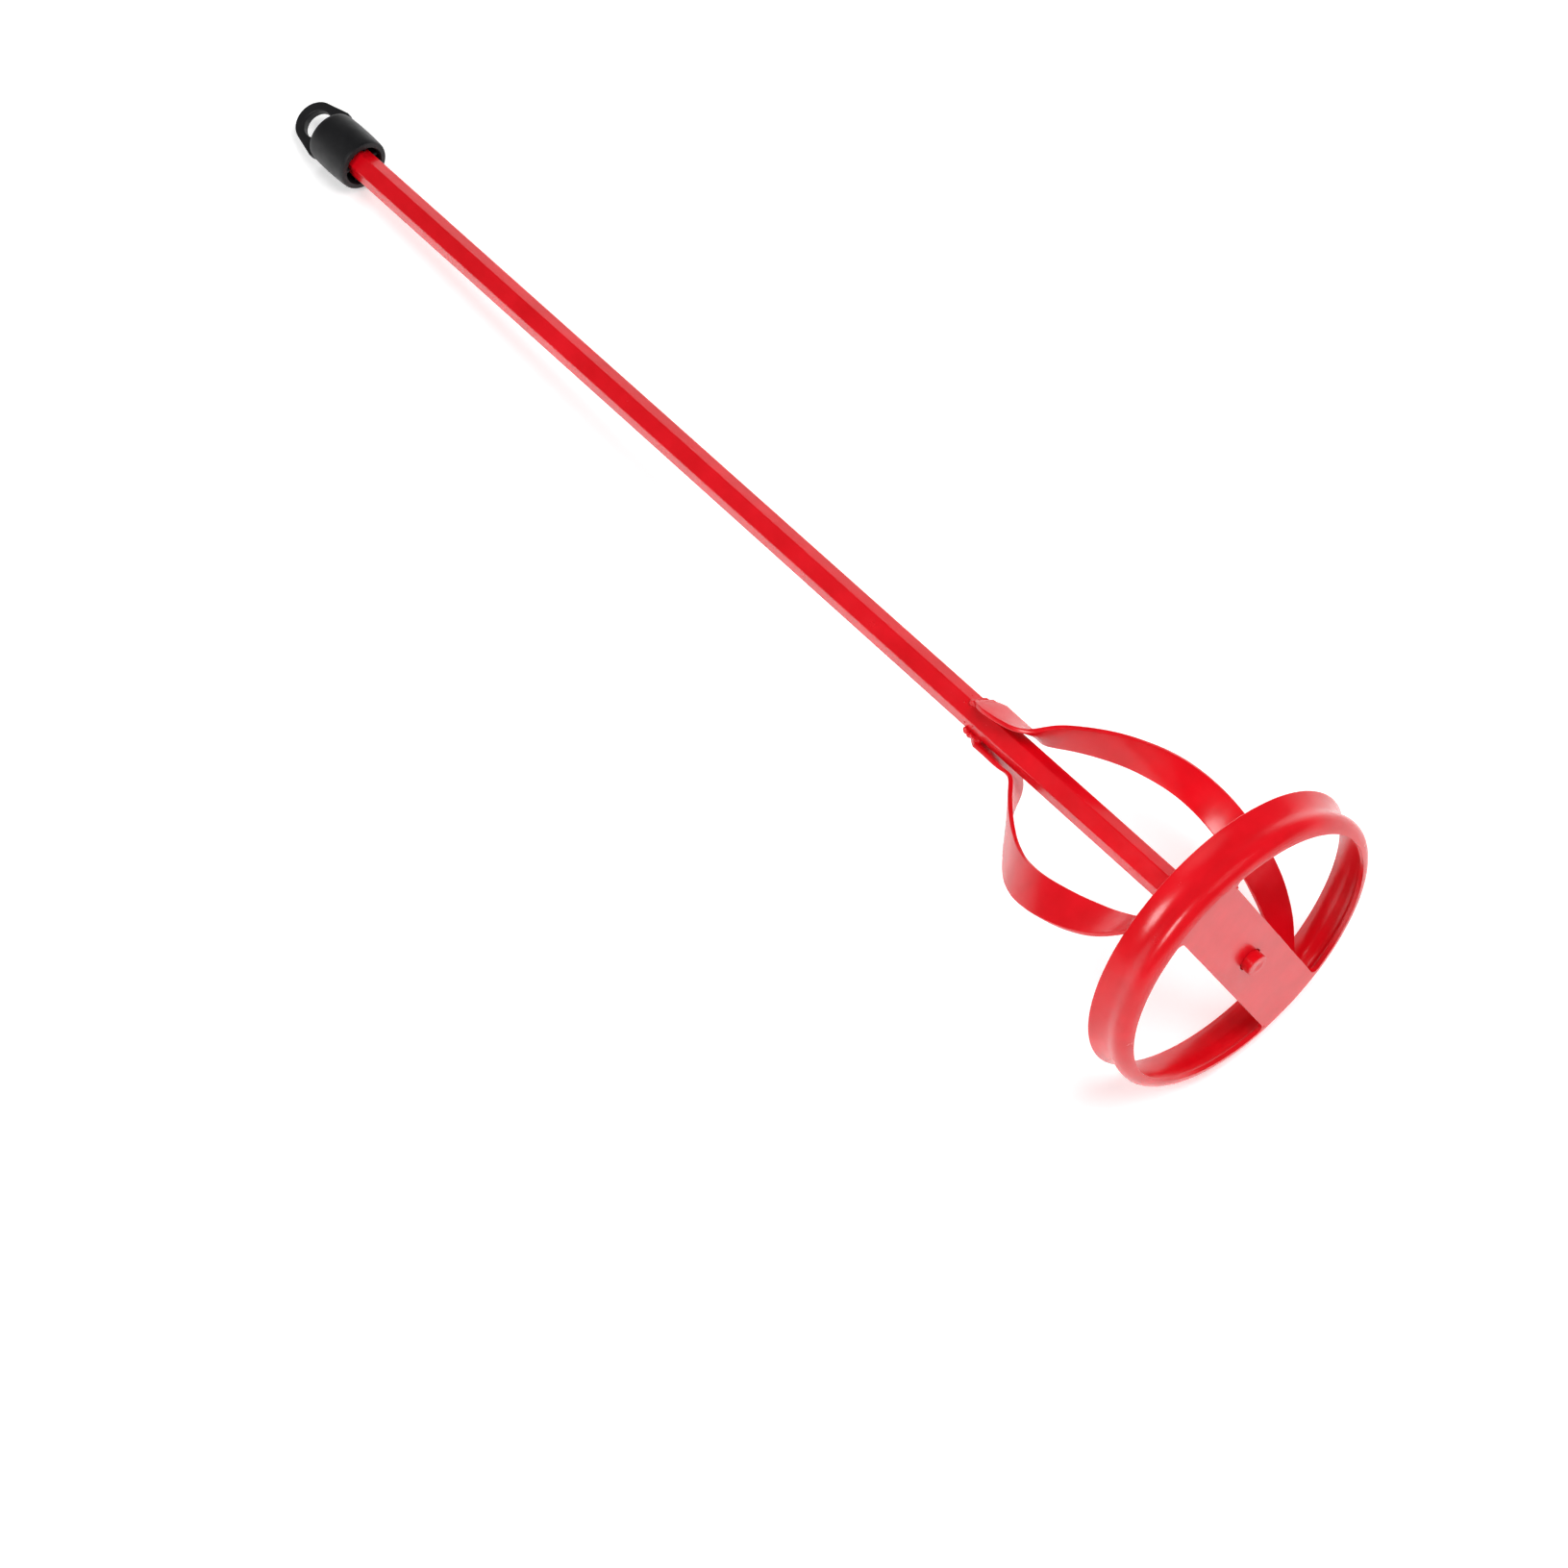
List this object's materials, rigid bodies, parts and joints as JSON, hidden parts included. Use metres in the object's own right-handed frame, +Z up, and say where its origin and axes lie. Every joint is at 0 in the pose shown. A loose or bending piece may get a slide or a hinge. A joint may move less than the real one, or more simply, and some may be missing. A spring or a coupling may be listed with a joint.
{
  "type": "drill paint mixer",
  "caption": "Paint mixer for a drill: hexagonal steel shaft, spiral blades welded into a pressed ring with a cross bar, and a push-on plastic cap with a hanging eye.",
  "frame": {"origin": "middle of the mixer's footprint on the ground it lies on", "axes": "the mixer lies on its side, resting on the ring's rim and on the cap. +X runs along the ground towards the ring end, +Z is up. The shaft's axis lies in the XZ plane and slopes down towards the cap"},
  "size_m": [0.426, 0.0904, 0.0901],
  "materials": {
    "red_enamel": "glossy",
    "black_plastic": "satin"
  },
  "bodies": {
    "mixer": {"bar_weld_a": "red_enamel", "bar_weld_b": "red_enamel", "hex_shaft": "red_enamel", "pressed_ring_with_bar": "red_enamel", "shaft_foot_weld": "red_enamel", "shaft_weld_a": "red_enamel", "shaft_weld_b": "red_enamel", "spiral_blade_a": "red_enamel", "spiral_blade_b": "red_enamel"},
    "cap": {"hanging_cap": "black_plastic"}
  },
  "joints": [
    {"name": "cap_pull", "type": "slide", "parent": "mixer", "child": "cap", "axis": [-0.9957, 0, -0.0928], "range_m": [0, 0.03]}
  ]
}
